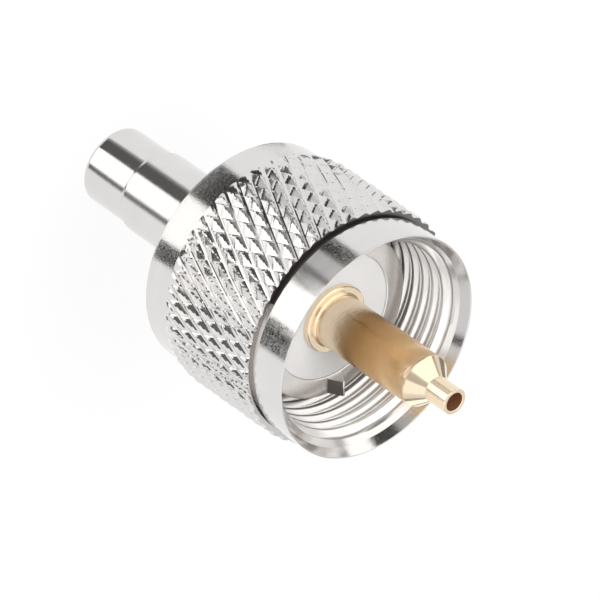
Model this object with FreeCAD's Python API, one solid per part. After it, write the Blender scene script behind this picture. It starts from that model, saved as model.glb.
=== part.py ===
import FreeCAD, Part
import math
import os
from FreeCAD import Vector

# Male UHF crimp plug for thin coaxial cable, uncrimped, standing on the rear end of its ferrule.
# All sizes are in millimetres. Z runs along the plug's axis, from the ferrule to the contact's tip.

# Coupling thread of the nut. The nut's wall lies outside it, and the body's widths inside it.
THREAD_MAJOR_D = 15.9
THREAD_DEPTH = 0.52
THREAD_RELIEF_LENGTH = 2.0
THREAD_LEAD_IN = 0.93

# Coupling nut: an internal thread in front, a lip behind that runs on the barrel
NUT_LENGTH = 15.15
NUT_WALL = 0.75
NUT_BAND_LENGTH = 2.87
NUT_GROOVE_DEPTH = 0.25
NUT_GROOVE_LENGTH = 0.33
NUT_RIM_LENGTH = 2.8
NUT_RIM_CHAMFER = 0.3
NUT_LIP_LENGTH = 1.5
MOUTH_WALL = 0.25
MOUTH_LENGTH = 0.7
MOUTH_TAPER = 0.27
NUT_RUNNING_CLEARANCE = 0.1
NUT_SEAT_CLEARANCE = 0.05

# Diamond knurl, rolled between the nut's band and its rim
KNURL_COUNT = 50
KNURL_ROWS = 7
KNURL_RISE = 0.52
KNURL_DEPTH = 0.43
KNURL_LEAN = 0.57

# Plug body: a barrel that carries the nut, and a front flange with locating teeth
FLANGE_GAP = 0.98
FLANGE_LENGTH = 1.8
SEAT_WIDTH = 1.5
BARREL_WALL = 0.55
BARREL_LENGTH = 8.65
TOOTH_COUNT = 2
TOOTH_WIDTH = 1.33
TOOTH_HEIGHT = 1.03
TOOTH_CREST = 0.14

# Insulator: a bushing in the flange
INSULATOR_LENGTH = 5.6
INSULATOR_RECESS = 0.1

# Centre contact: a hollow pin with a base flange, a cone and a solder tip
SOLDER_BORE_D = 1.42
TIP_WALL = 0.28
TIP_LENGTH = 2.0
PIN_CONE_LENGTH = 1.18
PIN_D = 4.0
PIN_LENGTH = 10.0
PIN_FLANGE_RISE = 0.625
PIN_FLANGE_LENGTH = 0.5
SHANK_WALL = 0.79
SHANK_STAND_OUT = 0.6
SHANK_GAP = 1.0

# Crimp stem: a collar with a spigot in front and a hollow stem behind
CABLE_BORE_D = 3.2
STEM_WALL = 0.8
STEM_LENGTH = 10.8
STEM_LEAD_IN = 0.35
COLLAR_RISE = 0.8
COLLAR_LENGTH = 1.45
SPIGOT_WALL = 1.9
SPIGOT_LENGTH = 3.0

# Crimp ferrule: a tube that seats against the collar, with a reduced rear end
FERRULE_LENGTH = 12.3
FERRULE_WALL = 0.4
FERRULE_REDUCTION = 0.225
FERRULE_REAR_LENGTH = 4.2
FERRULE_TAPER_LENGTH = 0.3
BRAID_GAP = 0.4

# Small broken edges
EDGE = 0.12

# Radii that follow from the sizes above
thread_major_r = THREAD_MAJOR_D / 2
thread_minor_r = thread_major_r - THREAD_DEPTH
nut_r = thread_major_r + NUT_WALL
mouth_r = nut_r - MOUTH_WALL
flange_r = thread_minor_r - FLANGE_GAP
insulator_r = flange_r - SEAT_WIDTH
barrel_r = insulator_r + BARREL_WALL
collar_r = barrel_r + COLLAR_RISE
solder_bore_r = SOLDER_BORE_D / 2
tip_r = solder_bore_r + TIP_WALL
shank_r = solder_bore_r + SHANK_WALL
pin_r = PIN_D / 2
cable_bore_r = CABLE_BORE_D / 2
stem_r = cable_bore_r + STEM_WALL
spigot_r = cable_bore_r + SPIGOT_WALL
ferrule_bore_r = stem_r + BRAID_GAP

# Heights that follow from the sizes above
collar_bottom = FERRULE_LENGTH
collar_top = collar_bottom + COLLAR_LENGTH
flange_back = collar_top + BARREL_LENGTH
flange_face = flange_back + FLANGE_LENGTH
insulator_face = flange_face - INSULATOR_RECESS
insulator_back = insulator_face - INSULATOR_LENGTH
pin_shoulder = insulator_face + PIN_LENGTH
cone_end = pin_shoulder + PIN_CONE_LENGTH
tip_end = cone_end + TIP_LENGTH
nut_back = collar_top + NUT_SEAT_CLEARANCE
nut_front = nut_back + NUT_LENGTH


def turned(corners):
    """One turned solid from the (radius, height) corners of its half section."""
    points = [Vector(radius, 0, height) for radius, height in corners]
    section = Part.Face(Part.makePolygon(points + points[:1]))
    return section.revolve(Vector(0, 0, 0), Vector(0, 0, 1), 360)


def on_cylinder(radius, angle, height):
    return Vector(radius * math.cos(angle), radius * math.sin(angle), height)


def crimp_stem():
    tail = collar_bottom - STEM_LENGTH
    spigot_top = collar_top + SPIGOT_LENGTH
    return turned([
        (cable_bore_r, tail),
        (stem_r - STEM_LEAD_IN, tail),
        (stem_r, tail + 2 * STEM_LEAD_IN),
        (stem_r, collar_bottom),
        (collar_r - EDGE, collar_bottom),
        (collar_r, collar_bottom + EDGE),
        (collar_r, collar_top - EDGE),
        (collar_r - EDGE, collar_top),
        (spigot_r, collar_top),
        (spigot_r, spigot_top - EDGE),
        (spigot_r - EDGE, spigot_top),
        (cable_bore_r, spigot_top),
    ])


def crimp_ferrule():
    rear_bore_r = ferrule_bore_r - FERRULE_REDUCTION
    taper_start = FERRULE_REAR_LENGTH
    taper_end = taper_start + FERRULE_TAPER_LENGTH
    return turned([
        (rear_bore_r, 0),
        (rear_bore_r + FERRULE_WALL - EDGE, 0),
        (rear_bore_r + FERRULE_WALL, EDGE),
        (rear_bore_r + FERRULE_WALL, taper_start),
        (ferrule_bore_r + FERRULE_WALL, taper_end),
        (ferrule_bore_r + FERRULE_WALL, FERRULE_LENGTH - EDGE),
        (ferrule_bore_r + FERRULE_WALL - EDGE, FERRULE_LENGTH),
        (ferrule_bore_r, FERRULE_LENGTH),
        (ferrule_bore_r, taper_end),
        (rear_bore_r, taper_start),
    ])


def locating_tooth(turn):
    """A V-shaped tooth across the flange's front face."""
    start = insulator_r + EDGE
    width, crest, top = TOOTH_WIDTH / 2, TOOTH_CREST / 2, flange_face + TOOTH_HEIGHT
    section = [(-width, flange_face), (-crest, top), (crest, top), (width, flange_face)]
    points = [Vector(0, across, height) for across, height in section]
    prism = Part.Face(Part.makePolygon(points + points[:1])).extrude(Vector(flange_r, 0, 0))
    ring = turned([
        (start, flange_face),
        (flange_r - EDGE, flange_face),
        (flange_r - EDGE, top),
        (start, top),
    ])
    tooth = prism.common(ring)
    tooth.rotate(Vector(0, 0, 0), Vector(0, 0, 1), turn)
    return tooth


def plug_body():
    spigot_socket = collar_top + SPIGOT_LENGTH
    web_bore_r = shank_r + SHANK_GAP
    body = turned([
        (spigot_r, collar_top),
        (barrel_r - EDGE, collar_top),
        (barrel_r, collar_top + EDGE),
        (barrel_r, flange_back),
        (flange_r - EDGE, flange_back),
        (flange_r, flange_back + EDGE),
        (flange_r, flange_face - EDGE),
        (flange_r - EDGE, flange_face),
        (insulator_r + EDGE, flange_face),
        (insulator_r, flange_face - EDGE),
        (insulator_r, insulator_back),
        (web_bore_r, insulator_back),
        (web_bore_r, spigot_socket),
        (spigot_r, spigot_socket),
    ])
    for index in range(TOOTH_COUNT):
        body = body.fuse(locating_tooth(360 * index / TOOTH_COUNT))
    return body.removeSplitter()


def insulator():
    return turned([
        (shank_r, insulator_back),
        (insulator_r, insulator_back),
        (insulator_r, insulator_face),
        (shank_r, insulator_face),
    ])


def centre_contact():
    shank_end = insulator_back - SHANK_STAND_OUT
    flange_top = insulator_face + PIN_FLANGE_LENGTH
    pin_flange_r = pin_r + PIN_FLANGE_RISE
    return turned([
        (solder_bore_r, shank_end),
        (shank_r - EDGE, shank_end),
        (shank_r, shank_end + EDGE),
        (shank_r, insulator_face),
        (pin_flange_r, insulator_face),
        (pin_flange_r, flange_top - EDGE),
        (pin_flange_r - EDGE, flange_top),
        (pin_r, flange_top),
        (pin_r, pin_shoulder),
        (tip_r, cone_end),
        (tip_r, tip_end),
        (solder_bore_r, tip_end),
    ])


def knurled_drum(bottom, top):
    """A drum whose wall is a lattice of four-sided pyramids, between two plane ends."""
    crest_r = nut_r + KNURL_RISE
    root_r = crest_r - KNURL_DEPTH
    step = 2 * math.pi / KNURL_COUNT
    row_height = (top - bottom) / KNURL_ROWS

    def corner(column, row):
        return on_cylinder(root_r, (column + KNURL_LEAN * row) * step, bottom + row * row_height)

    def crest(column, row):
        angle = (column - 0.5 + KNURL_LEAN * row) * step
        return on_cylinder(crest_r, angle, bottom + row * row_height)

    def facet(*points):
        return Part.Face(Part.makePolygon(list(points) + [points[0]]))

    facets = []
    for row in range(KNURL_ROWS + 1):
        for column in range(KNURL_COUNT):
            left, right = corner(column - 1, row), corner(column, row)
            peak = crest(column, row)
            if row > 0:
                below = corner(column, row - 1)
                facets += [facet(below, right, peak), facet(below, peak, left)]
            if row < KNURL_ROWS:
                above = corner(column - 1, row + 1)
                facets += [facet(above, left, peak), facet(above, peak, right)]
    for row in (0, KNURL_ROWS):
        outline = []
        for column in range(KNURL_COUNT):
            outline += [crest(column, row), corner(column, row)]
        facets.append(facet(*outline))
    shell = Part.makeShell(facets)
    shell.sewShape()
    drum = Part.makeSolid(shell)
    if drum.Volume < 0:
        drum.reverse()
    return drum


def coupling_nut():
    band_back = nut_front - NUT_BAND_LENGTH
    groove_back = band_back - NUT_GROOVE_LENGTH
    rim_front = nut_back + NUT_RIM_LENGTH
    groove_r = nut_r - NUT_GROOVE_DEPTH
    front = turned([
        (0, groove_back),
        (groove_r, groove_back),
        (groove_r, band_back),
        (nut_r, band_back),
        (nut_r, nut_front - EDGE),
        (nut_r - EDGE, nut_front),
        (0, nut_front),
    ])
    rear = turned([
        (0, nut_back),
        (nut_r - NUT_RIM_CHAMFER, nut_back),
        (nut_r, nut_back + NUT_RIM_CHAMFER),
        (nut_r, rim_front),
        (0, rim_front),
    ])
    blank = knurled_drum(rim_front, groove_back).fuse([front, rear])
    lip_bore_r = barrel_r + NUT_RUNNING_CLEARANCE
    lip_top = nut_back + NUT_LIP_LENGTH
    relief_top = lip_top + THREAD_RELIEF_LENGTH
    ledge = nut_front - MOUTH_LENGTH
    bore = turned([
        (0, nut_back - 1),
        (lip_bore_r + EDGE, nut_back - 1),
        (lip_bore_r + EDGE, nut_back),
        (lip_bore_r, nut_back + EDGE),
        (lip_bore_r, lip_top),
        (thread_major_r, lip_top),
        (thread_major_r, relief_top),
        (thread_minor_r, relief_top),
        (thread_minor_r, ledge - THREAD_LEAD_IN),
        (mouth_r - MOUTH_TAPER, ledge),
        (mouth_r, nut_front),
        (mouth_r, nut_front + 1),
        (0, nut_front + 1),
    ])
    return blank.cut(bore)


PIECES = {
    "crimp_stem": crimp_stem,
    "crimp_ferrule": crimp_ferrule,
    "plug_body": plug_body,
    "insulator": insulator,
    "centre_contact": centre_contact,
    "coupling_nut": coupling_nut,
}

os.makedirs("parts", exist_ok=True)
for name, make in PIECES.items():
    piece = make()
    box = piece.BoundBox
    print(f"{name}: solids {len(piece.Solids)}, valid {piece.isValid()}, volume {piece.Volume:.2f}, "
          f"z {box.ZMin:.3f} to {box.ZMax:.3f}, width {box.XLength:.3f}")
    piece.exportStep(f"parts/{name}.step")
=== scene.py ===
# %% [markdown]
# A crimp plug for a radio cable, standing on its rear end. A knurled nut turns on a nickel-plated
# body, a gold pin stands in a white bushing, and a thin tube behind it is crimped on the cable.
# Almost every surface was turned on a lathe, so most pieces below start as a half section that is
# spun round the axis. What sells the picture is the polish: the metal shows the cards round it.

# %% Load the plug and note its outer box
import math

import bpy
from mathutils import Matrix, Vector


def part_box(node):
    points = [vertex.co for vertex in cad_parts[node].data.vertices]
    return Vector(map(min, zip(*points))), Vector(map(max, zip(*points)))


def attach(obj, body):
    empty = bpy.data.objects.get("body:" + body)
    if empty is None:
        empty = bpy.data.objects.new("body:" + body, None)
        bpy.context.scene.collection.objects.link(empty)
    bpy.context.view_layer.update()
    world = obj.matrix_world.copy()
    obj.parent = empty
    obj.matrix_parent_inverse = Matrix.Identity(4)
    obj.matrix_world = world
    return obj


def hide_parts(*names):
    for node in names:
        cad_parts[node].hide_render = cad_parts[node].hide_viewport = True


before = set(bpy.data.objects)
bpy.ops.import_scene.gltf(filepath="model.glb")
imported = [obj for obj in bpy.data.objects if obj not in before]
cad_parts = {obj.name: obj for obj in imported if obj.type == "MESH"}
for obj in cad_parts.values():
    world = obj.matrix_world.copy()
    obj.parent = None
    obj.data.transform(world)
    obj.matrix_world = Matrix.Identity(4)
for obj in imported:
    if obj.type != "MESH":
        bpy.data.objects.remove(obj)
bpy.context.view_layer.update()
MM = 0.001

# %% [markdown]
# The places come from the loaded solids, so that each dressed piece lies where its solid lies.
# Radii and heights are kept in millimetres here, because the sizes of a plug are easier to read so.

# %% Places read from the solids, in millimetres
FLANGE_PROUD = 0.1


def top_of(node):
    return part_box(node)[1].z / MM


def foot_of(node):
    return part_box(node)[0].z / MM


def radius_of(node):
    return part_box(node)[1].x / MM


nut_back = foot_of("coupling_nut")
nut_front = top_of("coupling_nut")
flange_face = top_of("insulator") + FLANGE_PROUD
flange_r = radius_of("plug_body")
ferrule_top = top_of("crimp_ferrule")
tip_end = top_of("centre_contact")
print("nut from", round(nut_back, 2), "to", round(nut_front, 2), "flange", round(flange_face, 2))

# %% [markdown]
# The camera comes first, because every comparison with the picture depends on it. The picture was
# taken from far away with a long lens, 38.7 degrees above the plane of the nut's mouth, and rolled
# so that the plug points to the lower right. The roll is given by the two image axes.

# %% Camera
PICTURE = 600
SENSOR_WIDTH = 36
PIXELS_PER_MM = 14.35
FOCAL_PIXELS = 10000
ROLL = math.radians(35.0)
RISE = math.radians(38.7)
SWING = math.radians(-49.7)
MOUTH_PIXEL = (377.0, 347.8)
CAMERA_SIDE = math.degrees(SWING) - 90

axis = Vector((0, 0, 1))
across = Vector((math.cos(SWING), math.sin(SWING), 0))
away = Vector((-math.sin(SWING), math.cos(SWING), 0))
level = math.cos(RISE) * axis + math.sin(RISE) * away
image_right = math.cos(ROLL) * level - math.sin(ROLL) * across
image_down = math.sin(ROLL) * level + math.cos(ROLL) * across
forward = math.cos(RISE) * away - math.sin(RISE) * axis

bpy.ops.object.camera_add()
camera = bpy.context.object
camera.name = "picture_camera"
camera.data.sensor_width = SENSOR_WIDTH
camera.data.lens = SENSOR_WIDTH * FOCAL_PIXELS / PICTURE
camera.data.clip_start = 0.05
camera.data.clip_end = 10
aim_right = (MOUTH_PIXEL[0] - PICTURE / 2) / PIXELS_PER_MM * MM
aim_down = (MOUTH_PIXEL[1] - PICTURE / 2) / PIXELS_PER_MM * MM
mouth_centre = Vector((0, 0, nut_front * MM))
stand_off = FOCAL_PIXELS / PIXELS_PER_MM * MM
viewpoint = mouth_centre - forward * stand_off - image_right * aim_right - image_down * aim_down
camera_turn = Matrix((image_right, -image_down, -forward)).transposed().to_4x4()
camera.matrix_world = Matrix.Translation(viewpoint) @ camera_turn
bpy.context.scene.camera = camera
print("camera at", [round(x, 3) for x in viewpoint], "lens", camera.data.lens)

# %% [markdown]
# These helpers do the bench work. The lathe draws a half section corner by corner and spins it
# once. A corner may carry a small radius, because no turned edge is perfectly sharp, and the soft
# edge is what catches the light. The others cut a piece off level, bridge two open rings, smooth
# and join.

# %% The lathe and its helpers
TURN_STEPS = 160
WELD = 1e-7
SMOOTH_ANGLE = math.radians(28)
EASE_STEPS = 3
SUPPORT = 1.35


def eased(section):
    """Replaces each corner (radius, height, ease) by a short arc with a narrow flat at both its
    ends, which keeps the shading of the long faces straight. A corner without ease stays sharp."""
    corners = [Vector(corner[:2]) for corner in section]
    points = []
    for index, corner in enumerate(section):
        here = corners[index]
        if len(corner) < 3:
            points.append(here)
            continue
        before = (corners[index - 1] - here).normalized()
        after = (corners[(index + 1) % len(section)] - here).normalized()
        start, end = here + before * corner[2], here + after * corner[2]
        points.append(here.lerp(start, SUPPORT))
        for step in range(EASE_STEPS + 1):
            share = step / EASE_STEPS
            points.append(start.lerp(here, share).lerp(here.lerp(end, share), share))
        points.append(here.lerp(end, SUPPORT))
    return points


def in_hand(piece):
    """Makes a piece the only one that is selected, and the active one."""
    bpy.ops.object.select_all(action="DESELECT")
    piece.select_set(True)
    bpy.context.view_layer.objects.active = piece


def drawn(name, stops):
    """Draws a chain of edges through the stops, which are in metres, and leaves it in edit mode."""
    bpy.ops.object.select_all(action="DESELECT")
    bpy.ops.mesh.primitive_plane_add(size=MM, location=(0, 0, 0))
    piece = bpy.context.object
    piece.name = name
    bpy.ops.object.mode_set(mode="EDIT")
    bpy.ops.mesh.select_mode(type="VERT")
    bpy.ops.mesh.select_all(action="SELECT")
    bpy.ops.mesh.merge(type="CENTER")
    bpy.ops.transform.translate(value=stops[0])
    for start, end in zip(stops, stops[1:]):
        bpy.ops.mesh.extrude_region_move(TRANSFORM_OT_translate={"value": end - start})
    return piece


def turned(name, section, closed=True):
    """Draws a half section in the XZ plane, in millimetres, and spins it round the plug's axis."""
    stops = [Vector((point.x, 0, point.y)) * MM for point in eased(section)]
    if closed:
        stops.append(stops[0])
    piece = drawn(name, stops)
    bpy.ops.mesh.select_all(action="SELECT")
    bpy.ops.mesh.remove_doubles(threshold=WELD)
    bpy.ops.mesh.spin(steps=TURN_STEPS, angle=math.tau, center=(0, 0, 0), axis=(0, 0, 1))
    bpy.ops.mesh.select_all(action="SELECT")
    bpy.ops.mesh.remove_doubles(threshold=WELD)
    bpy.ops.mesh.normals_make_consistent(inside=False)
    bpy.ops.object.mode_set(mode="OBJECT")
    return piece


def cut_level(low, high, threshold):
    """Cuts the mesh in edit mode off level at two heights, in millimetres, and keeps the middle."""
    for height, below in ((low, True), (high, False)):
        bpy.ops.mesh.select_all(action="SELECT")
        bpy.ops.mesh.bisect(
            plane_co=(0, 0, height * MM), plane_no=(0, 0, 1),
            clear_inner=below, clear_outer=not below, threshold=threshold)


def select_rings(piece, *heights):
    """Selects the open edges that lie at the given heights, in millimetres."""
    bpy.ops.object.mode_set(mode="EDIT")
    bpy.ops.mesh.select_mode(type="EDGE")
    bpy.ops.mesh.select_all(action="DESELECT")
    bpy.ops.mesh.select_non_manifold(
        extend=False, use_wire=False, use_boundary=True, use_multi_face=False,
        use_non_contiguous=False, use_verts=False)
    bpy.ops.object.mode_set(mode="OBJECT")
    mesh = piece.data
    level_of = [round(vertex.co.z / MM, 3) for vertex in mesh.vertices]
    wanted = {round(height, 3) for height in heights}
    for edge in mesh.edges:
        ends = {level_of[index] for index in edge.vertices}
        edge.select = edge.select and len(ends) == 1 and bool(ends & wanted)
    for vertex in mesh.vertices:
        vertex.select = False
    for edge in mesh.edges:
        if edge.select:
            for index in edge.vertices:
                mesh.vertices[index].select = True


def bridge(piece, low, high):
    """Closes the gap between two open rings."""
    select_rings(piece, low, high)
    bpy.ops.object.mode_set(mode="EDIT")
    bpy.ops.mesh.bridge_edge_loops()
    bpy.ops.object.mode_set(mode="OBJECT")


def smoothed(piece, angle=SMOOTH_ANGLE):
    in_hand(piece)
    bpy.ops.object.shade_smooth_by_angle(angle=angle)
    return piece


def joined(first, *others):
    in_hand(first)
    for piece in others:
        piece.select_set(True)
    bpy.ops.object.join()
    return first


def faces_of(piece):
    mesh = piece.data
    mesh.calc_loop_triangles()
    return len(mesh.loop_triangles)


# %% [markdown]
# The knurl is rolled into the nut by two wheels whose teeth lean opposite ways. What they leave
# between their grooves is a field of small four-sided pyramids. One pyramid is shaped on a small
# grid, copied fifty times round and eight times along by two array modifiers, laid round the drum,
# and cut off level at both ends, as the real field is. The right-hand wheel came last, so its
# grooves run through as straight lines with a narrow flat floor, and it has pushed the peaks a
# little over. The peaks are blunt, because plating fills and rounds them. The field is smoothed on
# its own, with a small angle, so that each side of a pyramid stays a flat little mirror.

# %% One pyramid of the knurl, copied and laid round the drum
KNURL_COUNT = 50
KNURL_ROWS = 7
KNURL_LEAN = 0.57
KNURL_DEPTH = 0.26
KNURL_FLOOR = 0.08
KNURL_STEP_UP = 0.05
PEAK_ALONG = 0.20
PEAK_OVER = 0.58
CELL_STEPS = 10
RIDGE_EASE = 0.06
BLUNT_HEIGHT = 0.88
KNURL_SMOOTH = math.radians(13)
CELL_WELD = 1e-4
FIELD_WELD = 1e-6
KNURL_R = 9.22
NUT_R = 8.7
RIM_LENGTH = 2.8
BAND_LENGTH = 2.87
GROOVE_WIDTH = 0.33
RIM_SHARE, RIM_RUN_OUT = 0.35, 0.9
GROOVE_SHARE, GROOVE_RUN_OUT = 0.85, 0.5
knurl_r = radius_of("coupling_nut")
knurl_root_r = KNURL_R - KNURL_DEPTH
rim_front = nut_back + RIM_LENGTH
band_back = nut_front - BAND_LENGTH
groove_back = band_back - GROOVE_WIDTH
row_height = (groove_back - rim_front) / KNURL_ROWS


def wall(share, peak, floor):
    """Height over one groove spacing: 0 on the floor at both ends, 1 at the peak's place."""
    if share < peak:
        return max(0.0, (share - floor) / (peak - floor))
    return max(0.0, (1 - floor - share) / (1 - floor - peak))


def soft_least(one, other, ease):
    """The smaller of two heights, with the edge between them rounded."""
    blend = max(0.0, ease - abs(one - other)) / ease
    return min(one, other) - blend * blend * ease / 4


def knurl_height(along, over):
    """Share of the knurl's depth at a place in the cell, 0 in the deep grooves."""
    deep = wall(over, PEAK_OVER, KNURL_FLOOR)
    shallow = KNURL_STEP_UP + (1 - KNURL_STEP_UP) * wall(along, PEAK_ALONG, 0)
    pyramid = soft_least(deep, shallow, RIDGE_EASE)
    return max(0.0, soft_least(pyramid, BLUNT_HEIGHT, RIDGE_EASE))


def end_share(level):
    """The wheels ran out at the rim, and the groove took the points off the other end."""
    rear = RIM_SHARE + (1 - RIM_SHARE) * max(0.0, level - rim_front) / RIM_RUN_OUT
    front = GROOVE_SHARE + (1 - GROOVE_SHARE) * max(0.0, groove_back - level) / GROOVE_RUN_OUT
    return min(1.0, rear, front)


def knurl_field():
    bpy.ops.object.select_all(action="DESELECT")
    bpy.ops.mesh.primitive_grid_add(x_subdivisions=CELL_STEPS, y_subdivisions=CELL_STEPS, size=1)
    field = bpy.context.object
    peak = knurl_height(PEAK_ALONG, PEAK_OVER)
    for vertex in field.data.vertices:
        along, over = vertex.co.x + 0.5, vertex.co.y + 0.5
        column = KNURL_LEAN * along + (KNURL_LEAN - 1) * over
        row = along + over
        vertex.co = (column, row, knurl_height(along, over) / peak)
    for step, count in (((1, 0, 0), KNURL_COUNT), ((KNURL_LEAN, 1, 0), KNURL_ROWS + 1)):
        bpy.ops.object.modifier_add(type="ARRAY")
        array = field.modifiers[-1]
        array.use_relative_offset = False
        array.use_constant_offset = True
        array.constant_offset_displace = step
        array.count = count
        array.use_merge_vertices = True
        array.merge_threshold = CELL_WELD
        bpy.ops.object.modifier_apply(modifier=array.name)
    for vertex in field.data.vertices:
        column, row, height = vertex.co
        angle = math.tau * (column - KNURL_LEAN) / KNURL_COUNT
        level = rim_front + (row - 1) * row_height
        radius = knurl_root_r + height * end_share(level) * (knurl_r - knurl_root_r)
        vertex.co = Vector((radius * math.cos(angle), radius * math.sin(angle), level)) * MM
    bpy.ops.object.mode_set(mode="EDIT")
    bpy.ops.mesh.select_all(action="SELECT")
    bpy.ops.mesh.remove_doubles(threshold=FIELD_WELD)
    cut_level(rim_front, groove_back, threshold=WELD)
    bpy.ops.object.mode_set(mode="OBJECT")
    return field


field = smoothed(knurl_field(), KNURL_SMOOTH)
print("knurl field", faces_of(field), "triangles")

# %% [markdown]
# The nut's thread is cut for a socket of five eighths of an inch, 24 turns to the inch. One turn of
# its outline, a trapezium with 60 degree flanks, is drawn and carried up by the Screw modifier.
# Near the mouth the tool has turned a cone into it, so each point there is moved out to that cone.

# %% The coupling thread
THREAD_PITCH = 25.4 / 24
THREAD_MAJOR_R = 7.95
THREAD_MINOR_R = 7.43
THREAD_STEPS = 160
FLANK = (THREAD_MAJOR_R - THREAD_MINOR_R) * math.tan(math.radians(30))
CREST_FLAT = 0.24
ROOT_FLAT = THREAD_PITCH - CREST_FLAT - 2 * FLANK
EDGE = 0.05
ROOT_HOLLOW = ((0.16, 0.3), (0.07, 0.1))
BOTTOM_DEPTH, BOTTOM_SHARE = 0.02, 0.2
TURNS_BELOW = 2
THREAD_CUT = 1e-8
LEDGE_DEPTH = 0.7
LEDGE_R = 8.18
CONE_LENGTH = 0.93
CONE_END = 0.2
RELIEF_LENGTH = 3.5
RUN_IN_SLOPE = 2
ledge = nut_front - LEDGE_DEPTH
relief_top = nut_back + RELIEF_LENGTH
thread_top = ledge - CONE_END


def cone_radius(height):
    share = (height - (ledge - CONE_LENGTH)) / CONE_LENGTH
    return THREAD_MINOR_R + share * (LEDGE_R - THREAD_MINOR_R)


def thread_outline():
    """One turn's outline as (radius, height), with softened crest edges and a hollow root."""
    crest, root = THREAD_MINOR_R, THREAD_MAJOR_R
    root_start, root_end = CREST_FLAT + FLANK, THREAD_PITCH - FLANK
    bottom = root - BOTTOM_DEPTH
    return [
        (crest + EDGE / 2, 0), (crest, EDGE), (crest, CREST_FLAT - EDGE),
        (crest + EDGE / 2, CREST_FLAT), (crest + EDGE, CREST_FLAT + EDGE / 2),
        *((root - depth, CREST_FLAT + FLANK * (1 - share)) for depth, share in ROOT_HOLLOW),
        (bottom, root_start + ROOT_FLAT * BOTTOM_SHARE), (root, root_start + ROOT_FLAT / 2),
        (bottom, root_end - ROOT_FLAT * BOTTOM_SHARE),
        *((root - depth, root_end + FLANK * share) for depth, share in reversed(ROOT_HOLLOW)),
        (crest + EDGE, THREAD_PITCH - EDGE / 2), (crest + EDGE / 2, THREAD_PITCH),
    ]


def thread_surface():
    start_height = relief_top - TURNS_BELOW * THREAD_PITCH
    thread = drawn("thread", [
        Vector((radius, 0, start_height + height)) * MM for radius, height in thread_outline()])
    bpy.ops.object.mode_set(mode="OBJECT")
    bpy.ops.object.modifier_add(type="SCREW")
    screw = thread.modifiers[-1]
    screw.axis = "Z"
    screw.angle = math.tau
    screw.screw_offset = THREAD_PITCH * MM
    screw.iterations = math.ceil((thread_top - relief_top) / THREAD_PITCH) + TURNS_BELOW + 1
    screw.steps = THREAD_STEPS
    screw.render_steps = THREAD_STEPS
    screw.use_merge_vertices = True
    screw.merge_threshold = WELD
    bpy.ops.object.modifier_apply(modifier=screw.name)
    for vertex in thread.data.vertices:
        height = vertex.co.z / MM
        radius = math.hypot(vertex.co.x, vertex.co.y) / MM
        run_in = THREAD_MAJOR_R - max(0.0, height - relief_top) * RUN_IN_SLOPE
        least = max(cone_radius(height), run_in)
        if radius < least:
            vertex.co.x *= least / radius
            vertex.co.y *= least / radius
    bpy.ops.object.mode_set(mode="EDIT")
    bpy.ops.mesh.select_all(action="SELECT")
    bpy.ops.mesh.remove_doubles(threshold=WELD)
    cut_level(relief_top, thread_top, threshold=THREAD_CUT)
    bpy.ops.object.mode_set(mode="OBJECT")
    return thread


thread = thread_surface()
print("thread", faces_of(thread), "triangles, pitch", round(THREAD_PITCH, 3))

# %% [markdown]
# The rest of the nut is turned in two parts. The front part runs from the thread's cone over the
# lip and down the smooth band to the groove. The rear part runs from the knurl's other end over the
# rim, in through the rear lip that holds the nut on the body, and up to the thread. Bridges close
# the four gaps, so the nut is one closed skin.

# %% The nut, joined from its parts
SEAM_GAP = 0.03
LEDGE_WIDTH = 0.01
MOUTH_R = 8.60
GROOVE_R = 8.45
REAR_BORE_R = 5.6
LIP_LENGTH = 1.5
RIM_CHAMFER = 0.3
lip_top = nut_back + LIP_LENGTH

nut_front_skin = turned("front_skin", [
    (cone_radius(thread_top + SEAM_GAP), thread_top + SEAM_GAP),
    (LEDGE_R, ledge),
    (LEDGE_R + LEDGE_WIDTH, ledge),
    (MOUTH_R, nut_front, 0.03),
    (NUT_R, nut_front, 0.05),
    (NUT_R, band_back, 0.04),
    (GROOVE_R, band_back),
    (GROOVE_R, groove_back),
], closed=False)
nut_rear_skin = turned("rear_skin", [
    (NUT_R, rim_front),
    (NUT_R, nut_back + RIM_CHAMFER, 0.08),
    (NUT_R - RIM_CHAMFER, nut_back, 0.08),
    (REAR_BORE_R, nut_back, 0.12),
    (REAR_BORE_R, lip_top, 0.06),
    (THREAD_MAJOR_R, lip_top),
    (THREAD_MAJOR_R, relief_top - SEAM_GAP),
], closed=False)
knurled_nut = joined(nut_front_skin, nut_rear_skin, field, thread)
knurled_nut.name = "knurled_nut"
# The field's ends share their heights with the turned ends, so each pair is one bridge.
bridge(knurled_nut, groove_back, groove_back)
bridge(knurled_nut, rim_front, rim_front)
bridge(knurled_nut, thread_top, thread_top + SEAM_GAP)
bridge(knurled_nut, relief_top - SEAM_GAP, relief_top)
bpy.ops.object.mode_set(mode="EDIT")
bpy.ops.mesh.select_all(action="SELECT")
bpy.ops.mesh.normals_make_consistent(inside=False)
bpy.ops.object.mode_set(mode="OBJECT")
smoothed(knurled_nut)
print("nut", faces_of(knurled_nut), "triangles")

# %% [markdown]
# Behind the nut a thin tube waits to be crimped on the cable's braid. Its rear end is drawn down a
# little, and the step between the two widths catches a fine bright line.

# %% Crimp ferrule and the stem inside it
FERRULE_R = 3.2
FERRULE_REAR_R = 2.975
FERRULE_WALL = 0.4
FERRULE_STEP = 4.2
FERRULE_STEP_END = 4.5

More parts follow.
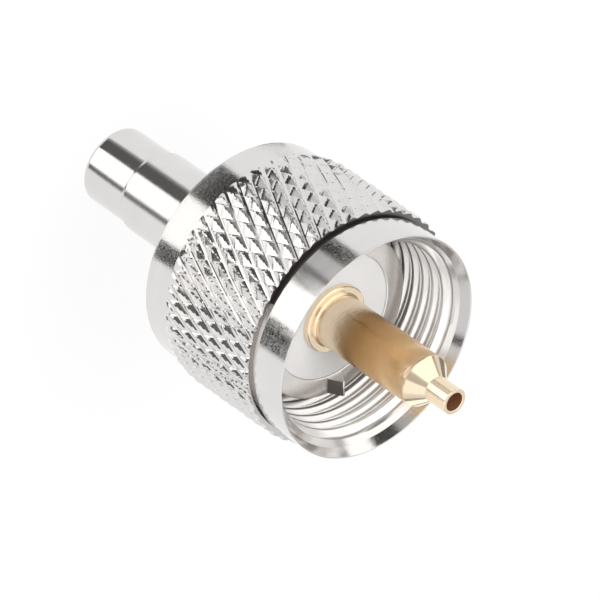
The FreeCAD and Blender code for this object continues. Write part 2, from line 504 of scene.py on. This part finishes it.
ferrule = turned("ferrule_tube", [
    (FERRULE_REAR_R - FERRULE_WALL, 0, 0.06),
    (FERRULE_REAR_R, 0, 0.12),
    (FERRULE_REAR_R, FERRULE_STEP, 0.05),
    (FERRULE_R, FERRULE_STEP_END, 0.05),
    (FERRULE_R, ferrule_top, 0.12),
    (FERRULE_R - FERRULE_WALL, ferrule_top, 0.05),
    (FERRULE_R - FERRULE_WALL, FERRULE_STEP_END),
    (FERRULE_REAR_R - FERRULE_WALL, FERRULE_STEP),
])
smoothed(ferrule)

CABLE_R = 1.6
STEM_R = 2.4
SPIGOT_R = 3.5
COLLAR_R = 6.3
COLLAR_LENGTH = 1.45
STEM_LEAD, STEM_LEAD_LENGTH = 0.35, 0.7
collar_top = ferrule_top + COLLAR_LENGTH
stem_foot = foot_of("crimp_stem")
stem_end = top_of("crimp_stem")
stem = turned("crimp_post", [
    (CABLE_R, stem_foot, 0.05),
    (STEM_R - STEM_LEAD, stem_foot, 0.05),
    (STEM_R, stem_foot + STEM_LEAD_LENGTH, 0.1),
    (STEM_R, ferrule_top),
    (COLLAR_R, ferrule_top, 0.12),
    (COLLAR_R, collar_top, 0.12),
    (SPIGOT_R, collar_top),
    (SPIGOT_R, stem_end, 0.12),
    (CABLE_R, stem_end),
])
smoothed(stem)
print("ferrule", faces_of(ferrule), "stem", faces_of(stem), "triangles")

# %% [markdown]
# The body is a barrel with a flange in front. Two V-shaped teeth stand on the flange and drop into
# notches of the socket. A tooth starts as a cube whose top is drawn in to a narrow crest, and a
# Boolean joins it to the turned body.

# %% Body with its two teeth
BARREL_R = 5.5
BODY_BORE_R = 2.5
BUSHING_R = 4.95
FLANGE_LENGTH = 1.8
TOOTH_WIDTH = 1.33
TOOTH_HEIGHT = 1.03
TOOTH_CREST = 0.14
TOOTH_ROOT = 0.3
TOOTH_INSET = 0.12
TOOTH_EASE = 0.03
flange_back = flange_face - FLANGE_LENGTH
bushing_back = foot_of("insulator")

body = turned("flanged_body", [
    (SPIGOT_R, collar_top),
    (BARREL_R, collar_top, 0.12),
    (BARREL_R, flange_back),
    (flange_r, flange_back, 0.12),
    (flange_r, flange_face, 0.10),
    (BUSHING_R, flange_face, 0.08),
    (BUSHING_R, bushing_back),
    (BODY_BORE_R, bushing_back),
    (BODY_BORE_R, stem_end),
    (SPIGOT_R, stem_end),
])


def tooth(side):
    inner, outer = BUSHING_R + TOOTH_INSET, flange_r - TOOTH_INSET
    middle = side * (inner + outer) / 2
    height = flange_face + (TOOTH_HEIGHT - TOOTH_ROOT) / 2
    bpy.ops.object.select_all(action="DESELECT")
    bpy.ops.mesh.primitive_cube_add(size=1, location=(0, 0, 0))
    block = bpy.context.object
    bpy.ops.object.mode_set(mode="EDIT")
    bpy.ops.mesh.select_all(action="SELECT")
    bpy.ops.transform.resize(value=(
        (outer - inner) * MM, TOOTH_WIDTH * MM, (TOOTH_HEIGHT + TOOTH_ROOT) * MM))
    bpy.ops.transform.translate(value=(middle * MM, 0, height * MM))
    bpy.ops.object.mode_set(mode="OBJECT")
    slope = (TOOTH_WIDTH - TOOTH_CREST) / TOOTH_HEIGHT
    for vertex in block.data.vertices:
        above = vertex.co.z / MM - flange_face
        width = TOOTH_WIDTH - slope * above
        vertex.co.y = math.copysign(width / 2 * MM, vertex.co.y)
    bpy.ops.object.mode_set(mode="EDIT")
    bpy.ops.mesh.select_all(action="SELECT")
    bpy.ops.mesh.bevel(offset=TOOTH_EASE * MM, segments=2, affect="EDGES")
    bpy.ops.object.mode_set(mode="OBJECT")
    return block


for side in (1, -1):
    block = tooth(side)
    in_hand(body)
    bpy.ops.object.modifier_add(type="BOOLEAN")
    union = body.modifiers[-1]
    union.operation = "UNION"
    union.solver = "EXACT"
    union.object = block
    bpy.ops.object.modifier_apply(modifier=union.name)
    bpy.data.objects.remove(block)
smoothed(body)
print("body", faces_of(body), "triangles")

# %% [markdown]
# A white bushing holds the gold contact in the flange. The contact is a hollow pin: a polished base
# ring, a satin shank that was brushed round its axis, a cone, and a thin tip that is filled with
# solder once the wire is in.

# %% Bushing and gold contact
SHANK_R = 1.5
PIN_R = 2.0
BASE_RING_R = 2.625
BASE_RING_LENGTH = 0.5
PIN_FILLET_R, PIN_FILLET_LENGTH = 0.14, 0.12
PIN_LENGTH = 10
PIN_CONE_LENGTH = 1.18
SOLDER_R = 0.71
TIP_R = 0.99
bushing_face = top_of("insulator")
pin_shoulder = bushing_face + PIN_LENGTH
cone_end = pin_shoulder + PIN_CONE_LENGTH
contact_foot = foot_of("centre_contact")
ring_top = bushing_face + BASE_RING_LENGTH

bushing = turned("white_bushing", [
    (SHANK_R, bushing_back),
    (BUSHING_R, bushing_back),
    (BUSHING_R, bushing_face, 0.06),
    (SHANK_R, bushing_face),
])
smoothed(bushing)

contact = turned("gold_pin", [
    (SOLDER_R, contact_foot, 0.05),
    (SHANK_R, contact_foot, 0.12),
    (SHANK_R, bushing_face),
    (BASE_RING_R, bushing_face, 0.05),
    (BASE_RING_R, ring_top, 0.22),
    (PIN_R + PIN_FILLET_R, ring_top),
    (PIN_R, ring_top + PIN_FILLET_LENGTH),
    (PIN_R, pin_shoulder, 0.04),
    (TIP_R, cone_end),
    (TIP_R, tip_end, 0.05),
    (SOLDER_R, tip_end, 0.05),
])
smoothed(contact)
print("bushing", faces_of(bushing), "contact", faces_of(contact), "triangles")

# %% [markdown]
# Nickel plate is a pale, slightly warm metal. On turned faces the tool leaves fine rings, so the
# bump reads the distance along and from the axis and hardly changes round it. A fine grain breaks
# up the dark reflections, as it does on real plating.

# %% Metal finishes
ROUND_SHARE = 0.0006
BUMP_DEPTH = 0.00001
TONE_DETAIL = 4
LINE_DETAIL = 2
ROUGH_SCALE, LINE_SCALE, GRAIN_SCALE = 9000, 5000, 14000
NOISE_LOW, NOISE_HIGH = 0.35, 0.65


def feed(tree, target, inputs):
    """Gives each input its value, or links it to the socket that feeds it."""
    for name, source in inputs.items():
        if isinstance(source, bpy.types.NodeSocket):
            tree.links.new(source, target.inputs[name])
        else:
            target.inputs[name].default_value = source
    return target


def node(tree, kind, inputs, **settings):
    """Adds a node, sets its options and feeds its inputs."""
    new = tree.nodes.new(kind)
    for name, setting in settings.items():
        setattr(new, name, setting)
    return feed(tree, new, inputs)


def noise(tree, vector, scale, **inputs):
    texture = node(tree, "ShaderNodeTexNoise", {"Vector": vector, "Scale": scale, **inputs})
    return texture.outputs["Fac"]


def bump(tree, strength, height, **inputs):
    relief = node(tree, "ShaderNodeBump", {
        "Strength": strength, "Distance": BUMP_DEPTH, "Height": height, **inputs})
    return relief.outputs[0]


def blended(tree, factor, one, other, **settings):
    inputs = {"Factor": factor, "A": one, "B": other}
    return node(tree, "ShaderNodeMix", inputs, data_type="RGBA", **settings).outputs["Result"]


def new_material(name):
    material = bpy.data.materials.new(name)
    material.use_nodes = True
    return material, material.node_tree


def ring_coordinates(tree, round_share):
    """Object coordinates, and the same turned into (distance from the axis, way round, height)."""
    place = node(tree, "ShaderNodeTexCoord", {}).outputs["Object"]
    split = node(tree, "ShaderNodeSeparateXYZ", {0: place}).outputs
    flat = node(tree, "ShaderNodeCombineXYZ", {"X": split["X"], "Y": split["Y"]})
    radius = node(tree, "ShaderNodeVectorMath", {0: flat.outputs[0]}, operation="LENGTH")
    way = node(tree, "ShaderNodeMath", {0: split["Y"], 1: split["X"]}, operation="ARCTAN2")
    scaled = node(tree, "ShaderNodeMath", {0: way.outputs[0], 1: round_share}, operation="MULTIPLY")
    ring = node(tree, "ShaderNodeCombineXYZ", {
        "X": radius.outputs["Value"], "Y": scaled.outputs[0], "Z": split["Z"]})
    return place, ring.outputs[0]


def metal(name, colour, dull, rough, spread, rings, grain, plating=1.0, tone_scale=700):
    """A plated metal: two tones, turned rings and a fine grain."""
    material, tree = new_material(name)
    place, ring = ring_coordinates(tree, ROUND_SHARE)
    tone = noise(tree, ring, tone_scale, Detail=TONE_DETAIL)
    roughness = node(tree, "ShaderNodeMapRange", {
        "Value": noise(tree, place, ROUGH_SCALE), "From Min": NOISE_LOW, "From Max": NOISE_HIGH,
        "To Min": rough - spread, "To Max": rough + spread})
    lines = bump(tree, rings, noise(tree, ring, LINE_SCALE, Detail=LINE_DETAIL))
    specks = noise(tree, place, GRAIN_SCALE, Detail=LINE_DETAIL)
    feed(tree, tree.nodes["Principled BSDF"], {
        "Metallic": plating,
        "Base Color": blended(tree, tone, (*colour, 1), (*dull, 1)),
        "Roughness": roughness.outputs[0],
        "Normal": bump(tree, grain, specks, Normal=lines)})
    return material


NICKEL = (0.76, 0.745, 0.735)
NICKEL_DULL = (0.70, 0.685, 0.675)
# A paler nickel that paints light into the nut's thread.
PAINTED_LIGHT_NICKEL = (0.86, 0.84, 0.825)
WARM_NICKEL = (0.82, 0.775, 0.74)
GOLD = (0.95, 0.82, 0.64)
GOLD_DULL = (0.89, 0.72, 0.50)
# These three satin colours paint highlights and shade along the shank: a mid brown, a painted shade
# and a painted highlight.
SATIN_PAINTED_MID = (0.93, 0.645, 0.345)
SATIN_PAINTED_SHADE = (0.75, 0.48, 0.225)
SATIN_PAINTED_HIGHLIGHT = (0.95, 0.74, 0.47)
# This dark brown is painted shade for the gold inside the tip's bore.
BORE_PAINTED_SHADE = (0.42, 0.20, 0.10)
# This dark grey is painted shade, for one side of the knurl's groove and for the teeth's flanks.
PAINTED_SHADE_GREY = (0.22, 0.205, 0.20)
bright_nickel = metal(
    "bright_nickel", NICKEL, NICKEL_DULL, rough=0.13, spread=0.07, rings=0.15, grain=0.30)
knurl_nickel = metal(
    "knurl_nickel", NICKEL, NICKEL_DULL, rough=0.12, spread=0.03, rings=0.05, grain=0.12)
# The thread is paler and partly matt: painted light that lifts the inside of the nut.
thread_nickel_painted_light = metal(
    "thread_nickel_painted_light", PAINTED_LIGHT_NICKEL, NICKEL, rough=0.18, spread=0.03, rings=0.10, grain=0.20,
    plating=0.78)
# A dull, dark nickel that paints shade into one side of the groove and onto the teeth's flanks.
painted_shade_nickel = metal(
    "painted_shade_nickel", PAINTED_SHADE_GREY, PAINTED_SHADE_GREY, rough=0.35, spread=0.04, rings=0.10, grain=0.30)
tube_nickel = metal(
    "tube_nickel", NICKEL, NICKEL_DULL, rough=0.12, spread=0.06, rings=0.08, grain=0.40)
body_nickel = metal(
    "body_nickel", WARM_NICKEL, NICKEL_DULL, rough=0.18, spread=0.04, rings=0.20, grain=0.15,
    plating=0.85)
satin_gold_painted_light = metal(
    "satin_gold_painted_light", GOLD, GOLD_DULL, rough=0.21, spread=0.02, rings=1.0, grain=0.03,
    tone_scale=9000)
bright_gold = metal(
    "bright_gold", GOLD, GOLD_DULL, rough=0.15, spread=0.03, rings=0.20, grain=0.05,
    plating=0.92)
# The tip's bore gets painted shade: a dark, partly matt brown.
bore_gold_painted_shade = metal(
    "bore_gold_painted_shade", BORE_PAINTED_SHADE, BORE_PAINTED_SHADE, rough=0.45, spread=0.03, rings=0.20, grain=0.05, plating=0.4)

# %% [markdown]
# The satin shank carries painted light along its length: pale painted highlights next to its ring
# and its cone, and a deeper, browner painted shade between them.

# %% The shank's painted highlights and shade along its length
BRUSHED_SHADE = (0.76, 0.69, 0.61, 1)


def painted_light_along_axis(material, low, high, stops):
    """Paints highlights and shade into a metal's colour along the axis, each stop a share of the
    way up and its colour.
    """
    tree = material.node_tree
    mix = next(each for each in tree.nodes if each.type == "MIX")
    place = node(tree, "ShaderNodeTexCoord", {}).outputs["Object"]
    height = node(tree, "ShaderNodeSeparateXYZ", {0: place}).outputs["Z"]
    share = node(tree, "ShaderNodeMapRange", {
        "Value": height, "From Min": low * MM, "From Max": high * MM})
    ramp = node(tree, "ShaderNodeValToRGB", {"Fac": share.outputs[0]})
    ramp.color_ramp.interpolation = "EASE"
    marks = ramp.color_ramp.elements
    marks.remove(marks[1])
    marks[0].position = stops[0][0]
    marks[0].color = (*stops[0][1], 1)
    for position, colour in stops[1:]:
        marks.new(position).color = (*colour, 1)
    painted_light_colour = ramp.outputs["Color"]
    feed(tree, mix, {
        "A": painted_light_colour, "B": blended(tree, 1, painted_light_colour, BRUSHED_SHADE, blend_type="MULTIPLY")})


# Painted highlights next to the ring and the cone, painted shade between them.
painted_light_along_axis(satin_gold_painted_light, ring_top, pin_shoulder, (
    (0.0, GOLD), (0.18, GOLD), (0.38, SATIN_PAINTED_SHADE), (0.62, SATIN_PAINTED_MID), (0.85, SATIN_PAINTED_HIGHLIGHT), (1.0, GOLD)))

# %% [markdown]
# The bushing is a waxy white plastic. It is nearly matt, lets a little light in under its skin, and
# shows faint rings where it was faced off.

# %% White plastic
white_plastic, tree = new_material("white_plastic")
place, ring = ring_coordinates(tree, ROUND_SHARE / 2)
tone = noise(tree, place, 900)
feed(tree, tree.nodes["Principled BSDF"], {
    "Roughness": 0.42,
    "Subsurface Weight": 0.15,
    "Subsurface Scale": 0.0006,
    "Base Color": blended(tree, tone, (0.80, 0.80, 0.80, 1), (0.74, 0.74, 0.745, 1)),
    "Normal": bump(tree, 0.15, noise(tree, ring, 6000))})

# %% [markdown]
# Each piece gets its finish. Where one piece has two, the faces are told apart by their place. One
# side of the narrow groove between knurl and band, and the steep flanks of the body's teeth, get a
# dull, dark painted shade; the groove's other side stays bright.

# %% Dress the pieces
# The groove's painted shade runs between these two directions on the nut, in degrees.
PAINTED_SHADE_FIRST, PAINTED_SHADE_LAST = 110, 232
SKIN = 0.02
MARGIN = 0.05
HAIR = 0.001
BORE_MARGIN = 0.01
TOOTH_FOOT = 0.06
STEEP = 0.6


def dress(piece, *finishes):
    """The first finish goes on everything. Each later one comes with a test of a face's place."""
    mesh = piece.data
    mesh.materials.clear()
    mesh.materials.append(finishes[0])
    for index, (finish, test) in enumerate(finishes[1:], start=1):
        mesh.materials.append(finish)
        for face in mesh.polygons:
            middle = face.center / MM
            if test(face, math.hypot(middle.x, middle.y), middle.z):
                face.material_index = index


def on_knurl(face, radius, height):
    return radius > NUT_R + SKIN and rim_front < height < groove_back


def in_painted_shade_groove(face, radius, height):
    """True in the part of the groove that gets painted shade, between two directions on the nut, in
    degrees.
    """
    direction = math.degrees(math.atan2(face.center.y, face.center.x)) % 360
    in_groove = radius > GROOVE_R - MARGIN and groove_back - HAIR < height < band_back
    return in_groove and PAINTED_SHADE_FIRST < direction < PAINTED_SHADE_LAST


def on_thread(face, radius, height):
    return radius < LEDGE_R and relief_top < height < ledge


# The steep flanks of the body's teeth get painted shade.
def on_painted_shade_tooth_flank(face, radius, height):
    return height > flange_face + TOOTH_FOOT and abs(face.normal.y) > STEEP


def polished_gold(face, radius, height):
    return height < ring_top + MARGIN or height > pin_shoulder - SKIN


# The tip's bore gets painted shade.
def in_painted_shade_bore(face, radius, height):
    return radius < SOLDER_R + BORE_MARGIN


dress(
    knurled_nut, bright_nickel, (knurl_nickel, on_knurl), (painted_shade_nickel, in_painted_shade_groove),
    (thread_nickel_painted_light, on_thread))
dress(ferrule, tube_nickel)
dress(stem, body_nickel)
dress(body, body_nickel, (painted_shade_nickel, on_painted_shade_tooth_flank))
dress(bushing, white_plastic)
dress(contact, satin_gold_painted_light, (bright_gold, polished_gold), (bore_gold_painted_shade, in_painted_shade_bore))

for piece, solid, slot, rides_on in (
    (knurled_nut, "coupling_nut", "nickel_nut", "nut"),
    (ferrule, "crimp_ferrule", "nickel_ferrule", "plug"),
    (stem, "crimp_stem", "nickel_body", "plug"),
    (body, "plug_body", "nickel_body", "plug"),
    (bushing, "insulator", "white_insulator", "plug"),
    (contact, "centre_contact", "gold_contact", "plug"),
):
    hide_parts(solid)
    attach(piece, rides_on)
    print(piece.name, "stands for", solid)

# %% [markdown]
# Polished metal has no look of its own: it shows what stands round it. The floor and the room are
# white. Flat cards lie round the plug's foot, dark and bright side by side like the spokes of a
# wheel, and in a turned face they become stripes along the axis. A face that stands higher on the
# plug sees the floor farther out, so every zone of the plug has its own ring of cards. The slanted
# sides of the knurl and the cone of the mouth look past them, at upright cards farther away, and
# the pin's own cone looks up at cards that hang higher still. Cards are seen only in reflections.

# %% Floor, cards, lamps and room
CARD_LIFT = 0.02
CARD_STEP = 3
CARD_WHITE = (1, 0.99, 0.975, 1)
DARK, BRIGHT = 0.05, 1.45


def glow(name, strength):
    material, tree = new_material(name)
    tree.nodes.clear()
    emit = node(tree, "ShaderNodeEmission", {"Color": CARD_WHITE, "Strength": strength})
    node(tree, "ShaderNodeOutputMaterial", {0: emit.outputs[0]})
    return material


def only_in_gloss(card):
    card.visible_camera = False
    card.visible_diffuse = False
    card.visible_shadow = False
    card.visible_transmission = False


def heading(turn):
    """One millimetre in a direction that is given in degrees from the camera's side."""
    angle = math.radians(CAMERA_SIDE + turn)
    return Vector((math.cos(angle), math.sin(angle), 0)) * MM


def spoke(name, first, last, strength, start, reach, rise=0, lift=CARD_LIFT, wall=0):
    """A card that fills the directions from first to last, in degrees from the camera's side, and
    the distances from start to reach, in millimetres, with an upright end as high as rise. With a
    wall, it follows the directions in which a wall of that radius reflects, so its edges look
    straight there."""
    steps = max(2, round((last - first) / CARD_STEP))
    corners, faces = [], []
    for step in range(steps + 1):
        turn = first + (last - first) * step / steps
        foot = heading(turn / 2) * wall + axis * lift * MM
        corners += [foot + heading(turn) * start, foot + heading(turn) * reach,
                    foot + heading(turn) * reach + axis * rise * MM]
        if step:
            near, far = 3 * (step - 1), 3 * step
            faces.append((near, near + 1, far + 1, far))
            if rise:
                faces.append((near + 1, near + 2, far + 2, far + 1))
    mesh = bpy.data.meshes.new(name)
    mesh.from_pydata(corners, [], faces)
    card = bpy.data.objects.new(name, mesh)
    bpy.context.scene.collection.objects.link(card)
    mesh.materials.append(glow(name, strength))
    only_in_gloss(card)


# Each ring of cards: zone, nearest and farthest distance, shape, then (first, last, strength).
for zone, start, reach, shape, fields in (
    ("tube", 0, 15.4, {"wall": FERRULE_R}, (
        (-57, -52, 0.45), (-52, -47, 0.22), (-47, -15, 0.12), (-15, 39, BRIGHT),
        (39, 43, 0.5), (43, 52, 0.2), (52, 56, 0.5))),
    ("rim", 24.5, 31, {}, ((-50, -14, DARK), (-14, 26, BRIGHT), (27, 43, DARK))),
    ("knurl", 31, 38, {}, ((-50, -9, DARK), (-9, 100, 1.25))),
    ("band", 38, 45.5, {}, (
        (-57, -40, 0.0), (-40, -24, 0.62), (-24, -5, 0.20), (-5, 29, BRIGHT), (29, 56, 0.0))),
    ("near", 45.5, 60, {}, (
        (-60, -24, 0.75), (-22, -17, 0.15), (-17, 36, 2.1), (36, 42, 0.15))),
    ("far", 62, 120, {"rise": 24}, (
        (-96, -66, 0.3), (-66, -37, 0.10), (-37, -9, 1.0), (-9, 34, 0.14))),
    ("side", 16, 22.5, {}, ((-114, -90, 0.15),)),
    ("side_front", 26.5, 30, {}, ((-114, -92, 0.15),)),
    ("high", 121, 122, {"rise": 85}, (
        (-112, -103, 0.3), (-103, -77, BRIGHT), (-77, -50, DARK), (-50, -9, 0.45),
        (44, 53, DARK))),
    ("back", 123, 124, {"rise": 60}, (
        (108, 125, 0.2), (125, 150, BRIGHT), (150, 158, 0.2), (-165, -130, 0.2))),
    ("sky", 199, 200, {"rise": 130, "lift": 120}, (
        (-125, -5, 1.4), (0, 38, 0.45), (38, 120, 1.15))),
):
    for number, (first, last, strength) in enumerate(fields, start=1):
        spoke(f"{zone}_card_{number}", first, last, strength, start, reach, **shape)

bpy.ops.object.select_all(action="DESELECT")
bpy.ops.mesh.primitive_circle_add(vertices=64, radius=0.2, fill_type="NGON", location=(0, 0, 0.25))
soft_box = bpy.context.object
soft_box.name = "soft_box"
soft_box.data.materials.append(glow("soft_box", BRIGHT))
only_in_gloss(soft_box)


def rays_of(tree, *kinds):
    """1 for rays of these kinds and 0 for all others."""
    rays = node(tree, "ShaderNodeLightPath", {}).outputs
    seen = rays[kinds[0]]
    for kind in kinds[1:]:
        larger = node(tree, "ShaderNodeMath", {0: seen, 1: rays[kind]}, operation="MAXIMUM")
        seen = larger.outputs[0]
    return seen


# The floor glows white for the eye and in reflections, and takes a faint shadow.
SHADOW_SHARE = 0.1
bpy.ops.object.select_all(action="DESELECT")
bpy.ops.mesh.primitive_plane_add(size=6, location=(0, 0, 0))
floor = bpy.context.object
floor.name = "floor"
floor_paint, tree = new_material("floor_paint")
tree.nodes.clear()
seen = rays_of(tree, "Is Camera Ray", "Is Glossy Ray", "Is Transmission Ray")
share = node(tree, "ShaderNodeMath", {0: seen, 1: 1 - SHADOW_SHARE}, operation="MULTIPLY")
paint = node(tree, "ShaderNodeBsdfDiffuse", {"Color": (0.9, 0.9, 0.9, 1)})
white = node(tree, "ShaderNodeEmission", {"Strength": 1.02})
blend = node(tree, "ShaderNodeMixShader", {
    0: share.outputs[0], 1: paint.outputs[0], 2: white.outputs[0]})
node(tree, "ShaderNodeOutputMaterial", {0: blend.outputs[0]})
floor.data.materials.append(floor_paint)

# The room is brighter to the eye and in reflections than as a lamp.
world = bpy.data.worlds.new("white_room")
bpy.context.scene.world = world
world.use_nodes = True
tree = world.node_tree
tree.nodes.clear()
seen = rays_of(tree, "Is Camera Ray", "Is Glossy Ray")
room = node(tree, "ShaderNodeBackground", {"Strength": 0.75})
backdrop = node(tree, "ShaderNodeBackground", {"Strength": 1.0})
blend = node(tree, "ShaderNodeMixShader", {0: seen, 1: room.outputs[0], 2: backdrop.outputs[0]})
node(tree, "ShaderNodeOutputWorld", {0: blend.outputs[0]})

LAMP_PLACE = Vector((-0.25, -0.05, 0.55))
bpy.ops.object.light_add(type="AREA", location=LAMP_PLACE)
lamp = bpy.context.object
lamp.name = "soft_lamp"
lamp.data.shape = "DISK"
lamp.data.size = 0.35
lamp.data.energy = 2.0
lamp.rotation_euler = (-LAMP_PLACE).to_track_quat("-Z", "Y").to_euler()
lamp.visible_glossy = False

bpy.context.scene.view_settings.view_transform = "Standard"
